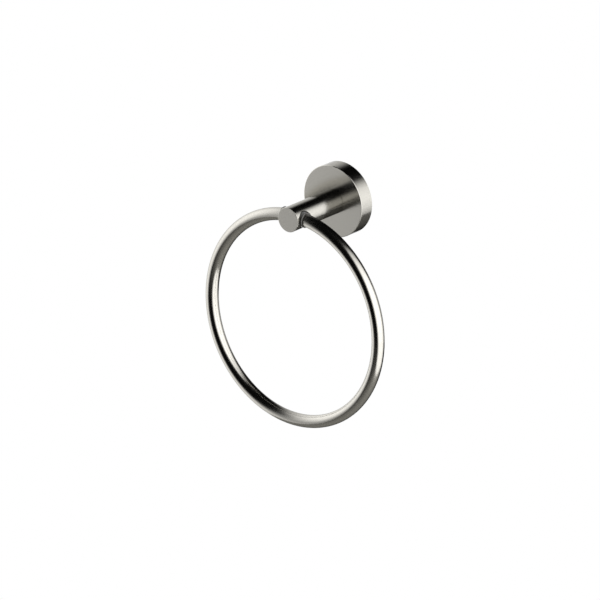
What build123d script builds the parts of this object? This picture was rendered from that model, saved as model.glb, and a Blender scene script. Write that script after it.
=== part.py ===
from build123d import *

import math
import os

# Towel ring: a round flange on the wall carries a post, and a ring swings in bushes near the post's end.
# Millimetres. The origin is the centre of the wall face: +Y runs into the wall, +X to the right, +Z up.

# Flange
FLANGE_DIAMETER = 55.0
FLANGE_DEPTH = 12.0
FLANGE_FACE_THICKNESS = 4.5
FLANGE_RIM_THICKNESS = 3.5
FLANGE_EDGE_RADIUS = 0.4
FLANGE_CORNER_CHAMFER = 0.8

# Wall bracket inside the flange
BRACKET_THICKNESS = 6.5
BRACKET_RIM_CLEARANCE = 0.2
BRACKET_EYE_DIAMETER = 18.0
BRACKET_EDGE_CHAMFER = 1.2
WALL_SCREW_SPACING = 33.0
WALL_SCREW_HOLE_DIAMETER = 4.5
WALL_SCREW_HEAD_DIAMETER = 8.6
WALL_SCREW_HEAD_ANGLE = 90.0

# Grub screw that locks the flange on the bracket
GRUB_DIAMETER = 4.0
GRUB_REACH = 1.6
GRUB_RECESS = 0.3
GRUB_SOCKET_WIDTH = 2.0
GRUB_SOCKET_DEPTH = 2.0
GRUB_SEAT_CLEARANCE = 0.2
THREAD_CLEARANCE = 0.03

# How far a cut runs past the surface that it opens
CUT_OVERRUN = 1.0

# Post
POST_DIAMETER = 19.0
POST_LENGTH = 51.5
POST_EDGE_RADIUS = 0.3
POST_BASE_CHAMFER = 0.4
SPIGOT_DIAMETER = 9.0
SPIGOT_WIDTH_ACROSS_FLATS = 7.6
SPIGOT_CLEARANCE = 0.05
SPIGOT_SHORTFALL = 0.5
PIVOT_FROM_POST_END = 8.25

# Screw and washer that hold the post to the flange
WASHER_DIAMETER = 15.0
WASHER_BORE_CLEARANCE = 0.15
WASHER_THICKNESS = 1.2
POST_SCREW_DIAMETER = 5.0
POST_SCREW_LENGTH = 16.0
POST_SCREW_HEAD_DIAMETER = 9.5
POST_SCREW_HEAD_HEIGHT = 2.75
POST_SCREW_HEAD_FLAT_DIAMETER = 5.0
POST_SCREW_HEAD_EDGE = 0.6
POST_SCREW_SOCKET_WIDTH = 3.0
POST_SCREW_SOCKET_DEPTH = 1.6
TAPPED_HOLE_RUNOUT = 2.0

# Bushes
BUSH_DIAMETER = 11.8
BUSH_PROJECTION = 1.5
BUSH_SPACING = 2.0
BUSH_EDGE_CHAMFER = 0.4
BUSH_FIT_CLEARANCE = 0.01
BUSH_MOUTH_CHAMFER = 0.7

# Ring
RING_OUTER_DIAMETER = 168.0
RING_BAR_DIAMETER = 9.7
RING_END_CLEARANCE = 0.25
RING_END_CHAMFER = 0.4
PIN_DIAMETER = 6.0
PIN_CLEARANCE = 0.05
PIN_END_SETBACK = 2.0
PIN_END_CHAMFER = 0.5

# Radii and planes that several pieces share
FLANGE_RADIUS = FLANGE_DIAMETER / 2
FLANGE_FRONT = -FLANGE_DEPTH
CAVITY_RADIUS = FLANGE_RADIUS - FLANGE_RIM_THICKNESS
CAVITY_FLOOR = FLANGE_FRONT + FLANGE_FACE_THICKNESS
BRACKET_RADIUS = CAVITY_RADIUS - BRACKET_RIM_CLEARANCE
BRACKET_MIDDLE = -BRACKET_THICKNESS / 2
GRUB_TIP_RADIUS = BRACKET_RADIUS - GRUB_REACH
GRUB_LENGTH = FLANGE_RADIUS - GRUB_RECESS - GRUB_TIP_RADIUS
POST_RADIUS = POST_DIAMETER / 2
POST_END = FLANGE_FRONT - POST_LENGTH
SPIGOT_END = CAVITY_FLOOR - SPIGOT_SHORTFALL
SCREW_SEAT = CAVITY_FLOOR + WASHER_THICKNESS
PIVOT = POST_END + PIVOT_FROM_POST_END
BUSH_INNER_END = BUSH_SPACING / 2
BUSH_OUTER_END = POST_RADIUS + BUSH_PROJECTION
RING_BAR_RADIUS = RING_BAR_DIAMETER / 2
RING_RADIUS = RING_OUTER_DIAMETER / 2 - RING_BAR_RADIUS
RING_SHOULDER = BUSH_OUTER_END + RING_END_CLEARANCE

# The bar's centre line crosses the pivot axis at the post's surface.
RING_DROP = math.sqrt(RING_RADIUS**2 - POST_RADIUS**2)


def turned(*profile):
    """A solid of revolution about Y, from corner points given as radius and place along Y."""
    return revolve(make_face(Polyline(*profile, close=True)), axis=Axis.Y)


def rod(radius, start, end, direction):
    """A round bar along a direction through the origin, between two distances from the origin."""
    plane = Plane(origin=Vector(*direction) * start, z_dir=direction)
    return extrude(plane * Circle(radius), amount=end - start)


def hexagon(width, start, end, direction):
    """A hexagonal bar of a width across flats, along a direction through the origin."""
    plane = Plane(origin=Vector(*direction) * start, z_dir=direction)
    return extrude(plane * RegularPolygon(width / 2, 6, major_radius=False), amount=end - start)


def key(clearance, start, end):
    """The spigot's round bar with two flats, along Y, grown by a clearance."""
    section = Circle(SPIGOT_DIAMETER / 2 + clearance)
    section &= Rectangle(SPIGOT_DIAMETER + 2 * clearance, SPIGOT_WIDTH_ACROSS_FLATS + 2 * clearance)
    return extrude(Plane(origin=(0, start, 0), z_dir=(0, 1, 0)) * section, amount=end - start)


def make_wall_bracket():
    """Disc against the wall: an eye for the post screw, two countersunk holes and the grub screw's seat."""
    eye = BRACKET_EYE_DIAMETER / 2
    disc = turned(
        (eye, 0),
        (BRACKET_RADIUS, 0),
        (BRACKET_RADIUS, -BRACKET_THICKNESS + BRACKET_EDGE_CHAMFER),
        (BRACKET_RADIUS - BRACKET_EDGE_CHAMFER, -BRACKET_THICKNESS),
        (eye, -BRACKET_THICKNESS),
    )
    hole = WALL_SCREW_HOLE_DIAMETER / 2
    head = WALL_SCREW_HEAD_DIAMETER / 2
    countersink_depth = (head - hole) / math.tan(math.radians(WALL_SCREW_HEAD_ANGLE / 2))
    screw_hole = turned(
        (0, 0),
        (hole, 0),
        (hole, -BRACKET_THICKNESS + countersink_depth),
        (head, -BRACKET_THICKNESS),
        (0, -BRACKET_THICKNESS),
    )
    for side in (-1, 1):
        disc -= Pos(side * WALL_SCREW_SPACING / 2, 0, 0) * screw_hole
    seat_radius = GRUB_DIAMETER / 2 + GRUB_SEAT_CLEARANCE
    seat = rod(seat_radius, GRUB_TIP_RADIUS, BRACKET_RADIUS + CUT_OVERRUN, (0, 0, -1))
    return disc - Pos(0, BRACKET_MIDDLE, 0) * seat


def make_flange():
    """Turned cup, open to the wall, keyed for the post's spigot and tapped for the grub screw below."""
    cup = turned(
        (0, FLANGE_FRONT),
        (FLANGE_RADIUS, FLANGE_FRONT),
        (FLANGE_RADIUS, 0),
        (CAVITY_RADIUS, 0),
        (CAVITY_RADIUS, CAVITY_FLOOR + FLANGE_CORNER_CHAMFER),
        (CAVITY_RADIUS - FLANGE_CORNER_CHAMFER, CAVITY_FLOOR),
        (0, CAVITY_FLOOR),
    )
    cup = fillet(cup.edges().filter_by(GeomType.CIRCLE).group_by(Axis.Y)[0], FLANGE_EDGE_RADIUS)
    cup -= key(SPIGOT_CLEARANCE, FLANGE_FRONT, CAVITY_FLOOR)
    tapped = rod(GRUB_DIAMETER / 2, CAVITY_RADIUS - CUT_OVERRUN, FLANGE_RADIUS + CUT_OVERRUN, (0, 0, -1))
    return cup - Pos(0, BRACKET_MIDDLE, 0) * tapped


def make_flange_grub_screw():
    """Set screw with a flat point on the bracket's seat and a hexagon socket at the flange's underside."""
    down = (0, 0, -1)
    outer_end = GRUB_TIP_RADIUS + GRUB_LENGTH
    screw = rod(GRUB_DIAMETER / 2 - THREAD_CLEARANCE, GRUB_TIP_RADIUS, outer_end, down)
    screw -= hexagon(GRUB_SOCKET_WIDTH, outer_end - GRUB_SOCKET_DEPTH, outer_end, down)
    return Pos(0, BRACKET_MIDDLE, 0) * screw


def make_post():
    """Turned bar with a rounded front edge, the cross hole for the bushes, and a keyed, tapped spigot."""
    bar = turned(
        (0, FLANGE_FRONT),
        (POST_RADIUS - POST_BASE_CHAMFER, FLANGE_FRONT),
        (POST_RADIUS, FLANGE_FRONT - POST_BASE_CHAMFER),
        (POST_RADIUS, POST_END),
        (0, POST_END),
    )
    bar = fillet(bar.edges().filter_by(GeomType.CIRCLE).group_by(Axis.Y)[0], POST_EDGE_RADIUS)
    hole = BUSH_DIAMETER / 2 + BUSH_FIT_CLEARANCE
    bar -= Pos(0, PIVOT, 0) * rod(hole, -POST_DIAMETER, POST_DIAMETER, (1, 0, 0))
    mouths = bar.edges().filter_by(GeomType.BSPLINE)
    bar = chamfer(mouths, BUSH_MOUTH_CHAMFER)
    bar += key(0, FLANGE_FRONT, SPIGOT_END)
    tapped_end = SCREW_SEAT - POST_SCREW_LENGTH - TAPPED_HOLE_RUNOUT
    return bar - rod(POST_SCREW_DIAMETER / 2, tapped_end, SPIGOT_END, (0, 1, 0))


def make_post_washer():
    """Plain washer that bridges the keyed hole inside the flange."""
    bore = POST_SCREW_DIAMETER / 2 + WASHER_BORE_CLEARANCE
    return turned(
        (bore, CAVITY_FLOOR),
        (WASHER_DIAMETER / 2, CAVITY_FLOOR),
        (WASHER_DIAMETER / 2, SCREW_SEAT),
        (bore, SCREW_SEAT),
    )


def make_post_screw():
    """Low head screw with a coned crown and a hexagon socket."""
    shank_radius = POST_SCREW_DIAMETER / 2 - THREAD_CLEARANCE
    shank = rod(shank_radius, SCREW_SEAT - POST_SCREW_LENGTH, SCREW_SEAT, (0, 1, 0))
    head_top = SCREW_SEAT + POST_SCREW_HEAD_HEIGHT
    head_radius = POST_SCREW_HEAD_DIAMETER / 2
    head = turned(
        (0, SCREW_SEAT),
        (head_radius, SCREW_SEAT),
        (head_radius, SCREW_SEAT + POST_SCREW_HEAD_EDGE),
        (POST_SCREW_HEAD_FLAT_DIAMETER / 2, head_top),
        (0, head_top),
    )
    head -= hexagon(POST_SCREW_SOCKET_WIDTH, head_top - POST_SCREW_SOCKET_DEPTH, head_top, (0, 1, 0))
    return shank + head


def make_bush(side):
    """Plastic sleeve pressed into one mouth of the cross hole, standing a little proud of the post."""
    sleeve = rod(BUSH_DIAMETER / 2, BUSH_INNER_END, BUSH_OUTER_END, (side, 0, 0))
    sleeve = chamfer(sleeve.edges().sort_by(Axis.X)[-1 if side > 0 else 0], BUSH_EDGE_CHAMFER)
    sleeve -= rod(PIN_DIAMETER / 2 + PIN_CLEARANCE, BUSH_INNER_END, BUSH_OUTER_END, (side, 0, 0))
    return Pos(0, PIVOT, 0) * sleeve


def make_ring():
    """Round bar bent to an open circle, with square shoulders and turned-down pins on the pivot axis."""
    circle = Pos(0, 0, -RING_DROP) * Rot(90, 0, 0) * Torus(RING_RADIUS, RING_BAR_RADIUS)
    gap = Box(2 * RING_SHOULDER, 2 * RING_BAR_DIAMETER, RING_RADIUS)
    bar = circle - gap
    for side in (-1, 1):
        shoulder = bar.faces().filter_by(Axis.X).sort_by(Axis.X)[0 if side < 0 else -1]
        bar = chamfer(shoulder.edges(), RING_END_CHAMFER)
    for side in (-1, 1):
        pin_end = BUSH_INNER_END + PIN_END_SETBACK
        pin = rod(PIN_DIAMETER / 2, pin_end, RING_SHOULDER + RING_BAR_RADIUS, (side, 0, 0))
        tip = pin.edges().filter_by(GeomType.CIRCLE).sort_by(Axis.X)[0 if side > 0 else -1]
        bar += chamfer(tip, PIN_END_CHAMFER)
    return Pos(0, PIVOT, 0) * bar


PARTS = {
    "wall_bracket": make_wall_bracket(),
    "flange": make_flange(),
    "flange_grub_screw": make_flange_grub_screw(),
    "post": make_post(),
    "post_washer": make_post_washer(),
    "post_screw": make_post_screw(),
    "left_bush": make_bush(-1),
    "right_bush": make_bush(1),
    "ring": make_ring(),
}

os.makedirs("parts", exist_ok=True)
for name, solid in PARTS.items():
    export_step(solid, f"parts/{name}.step")
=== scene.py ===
import math

import bpy
from mathutils import Matrix, Vector


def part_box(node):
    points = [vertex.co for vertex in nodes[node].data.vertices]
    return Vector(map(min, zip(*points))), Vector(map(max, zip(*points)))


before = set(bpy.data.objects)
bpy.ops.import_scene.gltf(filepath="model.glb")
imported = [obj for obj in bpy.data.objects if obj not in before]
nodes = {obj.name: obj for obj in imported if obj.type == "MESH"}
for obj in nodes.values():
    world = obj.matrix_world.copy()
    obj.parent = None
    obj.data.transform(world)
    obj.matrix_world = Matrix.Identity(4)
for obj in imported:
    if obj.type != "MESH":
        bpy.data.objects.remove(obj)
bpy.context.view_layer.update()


# Wall bracket, washer and screws
# Pressed and turned steel with a thin zinc plating, a little cloudy as it comes from the bath.
# The bracket is screwed to the wall, and the flange covers it and is held by the grub screw.
ZINC_DARK = "#85888B"
ZINC_LIGHT = "#A1A4A6"
ZINC_ROUGHNESS = (0.42, 0.58)
ZINC_CLOUD = 0.004
ZINC_GRAIN = 0.0004
ZINC_GRAIN_DEPTH = 0.0000015


def linear(hex_colour, alpha=1.0):
    """An sRGB hex colour as linear red, green, blue and alpha."""
    channels = [int(hex_colour[i:i + 2], 16) / 255 for i in (1, 3, 5)]
    return [c / 12.92 if c <= 0.04045 else ((c + 0.055) / 1.055) ** 2.4 for c in channels] + [alpha]


def add_node(tree, kind, settings=None, **links):
    """Adds a shader node, sets its properties and input values, and links its inputs from other sockets."""
    node = tree.nodes.new(kind)
    for name, value in (settings or {}).items():
        if name in node.inputs:
            node.inputs[name].default_value = value
        else:
            setattr(node, name, value)
    for name, socket in links.items():
        tree.links.new(socket, node.inputs[name.replace("_", " ")])
    return node


def new_material(name):
    """An empty node material and its tree."""
    material = bpy.data.materials.new(name)
    material.use_nodes = True
    material.node_tree.nodes.clear()
    return material, material.node_tree


def set_tints(ramp, dark, light, spread):
    """Gives a colour ramp its dark and light ends, with the spread either side of its middle."""
    low, high = ramp.color_ramp.elements
    low.position = 0.5 - spread
    low.color = linear(dark)
    high.position = 0.5 + spread
    high.color = linear(light)


zinc, tree = new_material("zinc_plated_steel")
coordinates = add_node(tree, "ShaderNodeTexCoord")
cloud = add_node(
    tree, "ShaderNodeTexNoise", {"Scale": 1 / ZINC_CLOUD, "Detail": 4.0, "Roughness": 0.65},
    Vector=coordinates.outputs["Object"],
)
grain = add_node(
    tree, "ShaderNodeTexNoise", {"Scale": 1 / ZINC_GRAIN, "Detail": 2.0},
    Vector=coordinates.outputs["Object"],
)
tint = add_node(tree, "ShaderNodeValToRGB", Fac=cloud.outputs["Fac"])
set_tints(tint, ZINC_DARK, ZINC_LIGHT, spread=0.2)
gloss = add_node(
    tree, "ShaderNodeMapRange", {"To Min": ZINC_ROUGHNESS[0], "To Max": ZINC_ROUGHNESS[1]},
    Value=cloud.outputs["Fac"],
)
relief = add_node(tree, "ShaderNodeBump", {"Distance": ZINC_GRAIN_DEPTH}, Height=grain.outputs["Fac"])
shader = add_node(
    tree, "ShaderNodeBsdfPrincipled", {"Metallic": 1.0},
    Base_Color=tint.outputs["Color"], Roughness=gloss.outputs["Result"], Normal=relief.outputs["Normal"],
)
add_node(tree, "ShaderNodeOutputMaterial", Surface=shader.outputs["BSDF"])
for name in ("wall_bracket", "flange_grub_screw", "post_washer", "post_screw"):
    nodes[name].material_slots[0].material = zinc


# Flange and post
# Turned metal, polished to a satin and nickel plated. The plating reflects little more at the edges than
# face on. Its fine even grain softens reflections and breaks them into a faint speckle.
# The post is drawn into the flange by a screw from behind.
NICKEL_DARK = "#94928D"
NICKEL_LIGHT = "#A2A09A"
NICKEL_EDGE = "#B4B4B4"
NICKEL_ROUGHNESS = (0.15, 0.19)
# The real grain is about 0.1 mm, drawn coarser so that the picture can show it.
NICKEL_GRAIN = 0.0006
NICKEL_GRAIN_DEPTH = 0.0000005

nickel, tree = new_material("satin_brushed_nickel")
coordinates = add_node(tree, "ShaderNodeTexCoord")
grain = add_node(
    tree, "ShaderNodeTexNoise", {"Scale": 1 / NICKEL_GRAIN, "Detail": 2.0},
    Vector=coordinates.outputs["Object"],
)
tint = add_node(tree, "ShaderNodeValToRGB", Fac=grain.outputs["Fac"])
set_tints(tint, NICKEL_DARK, NICKEL_LIGHT, spread=0.15)
gloss = add_node(
    tree, "ShaderNodeMapRange", {"To Min": NICKEL_ROUGHNESS[0], "To Max": NICKEL_ROUGHNESS[1]},
    Value=grain.outputs["Fac"],
)
relief = add_node(tree, "ShaderNodeBump", {"Distance": NICKEL_GRAIN_DEPTH}, Height=grain.outputs["Fac"])
shader = add_node(
    tree, "ShaderNodeBsdfPrincipled", {"Metallic": 1.0, "Specular Tint": linear(NICKEL_EDGE)},
    Base_Color=tint.outputs["Color"], Roughness=gloss.outputs["Result"], Normal=relief.outputs["Normal"],
)
add_node(tree, "ShaderNodeOutputMaterial", Surface=shader.outputs["BSDF"])
for name in ("flange", "post"):
    nodes[name].material_slots[0].material = nickel


# Bushes
# Two dark nylon sleeves, moulded with a fine matt texture, pressed into the post's cross hole.
# Each stands a little proud of the post and carries one of the ring's pins.
NYLON_DARK = "#2A2926"
NYLON_LIGHT = "#34322E"
NYLON_ROUGHNESS = (0.18, 0.28)
NYLON_IOR = 1.53
NYLON_GRAIN = 0.0005
NYLON_GRAIN_DEPTH = 0.000002

nylon, tree = new_material("moulded_dark_nylon")
coordinates = add_node(tree, "ShaderNodeTexCoord")
grain = add_node(
    tree, "ShaderNodeTexNoise", {"Scale": 1 / NYLON_GRAIN, "Detail": 3.0},
    Vector=coordinates.outputs["Object"],
)
tint = add_node(tree, "ShaderNodeValToRGB", Fac=grain.outputs["Fac"])
set_tints(tint, NYLON_DARK, NYLON_LIGHT, spread=0.2)
gloss = add_node(
    tree, "ShaderNodeMapRange", {"To Min": NYLON_ROUGHNESS[0], "To Max": NYLON_ROUGHNESS[1]},
    Value=grain.outputs["Fac"],
)
relief = add_node(tree, "ShaderNodeBump", {"Distance": NYLON_GRAIN_DEPTH}, Height=grain.outputs["Fac"])
shader = add_node(
    tree, "ShaderNodeBsdfPrincipled", {"IOR": NYLON_IOR},
    Base_Color=tint.outputs["Color"], Roughness=gloss.outputs["Result"], Normal=relief.outputs["Normal"],
)
add_node(tree, "ShaderNodeOutputMaterial", Surface=shader.outputs["BSDF"])
for name in ("left_bush", "right_bush"):
    nodes[name].material_slots[0].material = nylon


# Ring
# Round bar bent to a circle, with its ends turned down to pins that swing in the bushes.
# It is finished in one lot with the flange and the post, so it shares their satin nickel.
nodes["ring"].material_slots[0].material = nickel


# Studio floor and walls
# A pale matt floor lies well below the ring. Its colour is painted darker towards the rear left, fading into
# the black cloth colour, as painted shade where the floor falls out of the light.
# Black cloth walls and ceiling give the metal its dark bands. Only reflections see either of them.
FLOOR_DEPTH = 1.35
FLOOR_RADIUS = 2.7
FLOOR_CENTRE_Y = -0.7
FLOOR_SIDES = 96
FLOOR_PAINTED_SHADE = (1.95, 0.35)
FLOOR_PAINTED_SHADE_DIRECTION = (-0.447, 0.894, 0.0)
FLOOR_COLOUR = "#A5A4A0"
CLOTH_COLOUR = "#070707"
CLOTH_BELOW_FLOOR = 0.01
WALL_SPAN = 6.8
CEILING_HEIGHT = 3.5

bpy.ops.object.select_all(action="DESELECT")
bpy.ops.mesh.primitive_circle_add(
    vertices=FLOOR_SIDES, radius=FLOOR_RADIUS, fill_type="NGON", location=(0, FLOOR_CENTRE_Y, -FLOOR_DEPTH),
)
floor = bpy.context.object
floor.name = "floor"
floor.visible_camera = False
floor_paint_and_shade, tree = new_material("pale_floor_with_painted_shade")
# Painted shade: the floor's colour runs from pale to the black cloth colour towards the rear left.
surface = add_node(tree, "ShaderNodeNewGeometry")
backward = add_node(tree, "ShaderNodeVectorMath", {"operation": "DOT_PRODUCT"})
tree.links.new(surface.outputs["Position"], backward.inputs[0])
backward.inputs[1].default_value = FLOOR_PAINTED_SHADE_DIRECTION
fade = add_node(
    tree, "ShaderNodeMapRange", {"From Min": FLOOR_PAINTED_SHADE[0], "From Max": FLOOR_PAINTED_SHADE[1]},
    Value=backward.outputs["Value"],
)
tint = add_node(tree, "ShaderNodeValToRGB", Fac=fade.outputs["Result"])
set_tints(tint, CLOTH_COLOUR, FLOOR_COLOUR, spread=0.5)
shader = add_node(tree, "ShaderNodeBsdfDiffuse", Color=tint.outputs["Color"])
add_node(tree, "ShaderNodeOutputMaterial", Surface=shader.outputs["BSDF"])
floor.data.materials.append(floor_paint_and_shade)

bpy.ops.object.select_all(action="DESELECT")
bpy.ops.mesh.primitive_cube_add(size=1)
walls = bpy.context.object
walls.name = "cloth_walls"
walls.visible_camera = False
wall_height = CEILING_HEIGHT + FLOOR_DEPTH
walls.dimensions = (WALL_SPAN, WALL_SPAN, wall_height)
walls.location = (0, 0, wall_height / 2 - FLOOR_DEPTH - CLOTH_BELOW_FLOOR)
cloth, tree = new_material("black_cloth")
shader = add_node(tree, "ShaderNodeBsdfDiffuse", {"Color": linear(CLOTH_COLOUR)})
add_node(tree, "ShaderNodeOutputMaterial", Surface=shader.outputs["BSDF"])
walls.data.materials.append(cloth)


# Softboxes
# Two large softboxes stand to the left and right of the object, with the left one the weaker.
# Their light fades towards the edges, most of all to the front, which the metal shows as broad soft bands.
# A small one behind lights the back, which the wall hides in use.
SIDE_DISTANCE = 1.15
BACK_PLACE = (0.0, 2.0, -0.35)
BACK_HEIGHT = 1.0
BACK_WIDTH = 1.3
BACK_RADIANCE = 1.2


def add_softbox(name, middle, rotation, height, width, radiance):
    """A rectangular lamp of an even brightness, which the camera doesn't see."""
    bpy.ops.object.light_add(type="AREA", location=middle, rotation=rotation)
    softbox = bpy.context.object
    softbox.name = name
    softbox.visible_camera = False
    lamp = softbox.data
    lamp.shape = "RECTANGLE"
    lamp.size = height
    lamp.size_y = width
    lamp.energy = radiance * math.pi * width * height
    return lamp


def add_side_softbox(name, side, radiance, slopes, front_fade, rear_fade, top_fade, bottom_fade):
    """A lamp to one side of the object. Each fade runs from no light to full light, in metres.
    The slopes are how far its front and rear edges draw in for each metre above the object."""
    front, rear, top = front_fade[0], rear_fade[0], top_fade[0]
    height = top + FLOOR_DEPTH
    middle = (side * SIDE_DISTANCE, (front + rear) / 2, top - height / 2)
    lamp = add_softbox(name, middle, (0, side * math.pi / 2, 0), height, rear - front, radiance)
    lamp.use_nodes = True
    tree = lamp.node_tree
    tree.nodes.clear()
    surface = add_node(tree, "ShaderNodeNewGeometry")
    axes = add_node(tree, "ShaderNodeSeparateXYZ", Vector=surface.outputs["Position"])
    height_above = add_node(tree, "ShaderNodeMath", {"operation": "MAXIMUM"})
    tree.links.new(axes.outputs["Z"], height_above.inputs[0])
    height_above.inputs[1].default_value = 0.0
    along = {}
    for end, inset in (("front", -slopes[0]), ("rear", slopes[1])):
        along[end] = add_node(tree, "ShaderNodeMath", {"operation": "MULTIPLY_ADD"})
        tree.links.new(height_above.outputs["Value"], along[end].inputs[0])
        along[end].inputs[1].default_value = inset
        tree.links.new(axes.outputs["Y"], along[end].inputs[2])
    full = add_node(tree, "ShaderNodeValue")
    full.outputs["Value"].default_value = 1.0
    level = full.outputs["Value"]
    fades = (
        (along["front"].outputs["Value"], front_fade, "SMOOTHSTEP"),
        (along["rear"].outputs["Value"], rear_fade, "SMOOTHSTEP"),
        (axes.outputs["Z"], top_fade, "LINEAR"),
        (axes.outputs["Z"], bottom_fade, "LINEAR"),
    )
    for place, fade, curve in fades:
        step = add_node(
            tree, "ShaderNodeMapRange",
            {"interpolation_type": curve, "From Min": fade[0], "From Max": fade[1]},
            Value=place, To_Max=level,
        )
        level = step.outputs["Result"]
    emission = add_node(tree, "ShaderNodeEmission", Strength=level)
    add_node(tree, "ShaderNodeOutputLight", Surface=emission.outputs["Emission"])


add_side_softbox(
    "right_softbox", 1, radiance=3.5, slopes=(0.0, 0.0),
    front_fade=(-1.95, -0.65), rear_fade=(3.1, 0.1), top_fade=(3.2, 0.7), bottom_fade=(-6.0, 0.0),
)
add_side_softbox(
    "left_softbox", -1, radiance=2.85, slopes=(0.32, 0.6),
    front_fade=(-2.35, -0.35), rear_fade=(4.0, 0.0), top_fade=(2.45, 0.45), bottom_fade=(-3.3, 0.0),
)
facing_front = (0, -math.pi / 2, -math.pi / 2)
add_softbox("back_softbox", BACK_PLACE, facing_front, BACK_HEIGHT, BACK_WIDTH, BACK_RADIANCE)


# White background
# The world is plain white to the eye, and to metal wherever the studio leaves a gap.
# What falls on matt surfaces from it stays at a low, plain level.
WORLD_COLOUR = "#FFFFFF"
WORLD_FILL = 0.2

world = bpy.data.worlds.new("white_studio")
bpy.context.scene.world = world
world.use_nodes = True
tree = world.node_tree
tree.nodes.clear()
path = add_node(tree, "ShaderNodeLightPath")
seen = add_node(tree, "ShaderNodeMath", {"operation": "MAXIMUM"})
tree.links.new(path.outputs["Is Camera Ray"], seen.inputs[0])
tree.links.new(path.outputs["Is Glossy Ray"], seen.inputs[1])
seen_through = add_node(tree, "ShaderNodeMath", {"operation": "MAXIMUM"})
tree.links.new(seen.outputs["Value"], seen_through.inputs[0])
tree.links.new(path.outputs["Is Transmission Ray"], seen_through.inputs[1])
strength = add_node(
    tree, "ShaderNodeMapRange", {"To Min": WORLD_FILL, "To Max": 1.0}, Value=seen_through.outputs["Value"],
)
background = add_node(
    tree, "ShaderNodeBackground", {"Color": linear(WORLD_COLOUR)}, Strength=strength.outputs["Result"],
)
add_node(tree, "ShaderNodeOutputWorld", Surface=background.outputs["Background"])


# Camera
# The photograph has no vanishing points, so the camera is a parallel one, above and to the right of the post.
# Its scale and its place are set by where the middle of the flange's front face lies in the picture.
PHOTO_SIDE_PX = 600
PIXELS_PER_METRE = 1362.9
AZIMUTH = math.radians(39.7)
ELEVATION = math.radians(20.2)
FLANGE_CENTRE_PX = (332.8, 201.35)
CAMERA_DISTANCE = 1.0

flange_low, flange_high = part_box("flange")
flange_centre = Vector((0.0, flange_low.y, 0.0))
right = Vector((math.cos(AZIMUTH), math.sin(AZIMUTH), 0.0))
back = Vector((
    math.sin(AZIMUTH) * math.cos(ELEVATION),
    -math.cos(AZIMUTH) * math.cos(ELEVATION),
    math.sin(ELEVATION),
))
up = back.cross(right)
shift_right = (FLANGE_CENTRE_PX[0] - PHOTO_SIDE_PX / 2) / PIXELS_PER_METRE
shift_up = (PHOTO_SIDE_PX / 2 - FLANGE_CENTRE_PX[1]) / PIXELS_PER_METRE
aim = flange_centre - shift_right * right - shift_up * up

bpy.ops.object.camera_add()
camera = bpy.context.object
camera.name = "camera"
camera.data.type = "ORTHO"
camera.data.ortho_scale = PHOTO_SIDE_PX / PIXELS_PER_METRE
facing = Matrix((right, up, back)).transposed().to_4x4()
camera.matrix_world = Matrix.Translation(aim + CAMERA_DISTANCE * back) @ facing
bpy.context.scene.camera = camera
bpy.context.scene.view_settings.view_transform = "Standard"
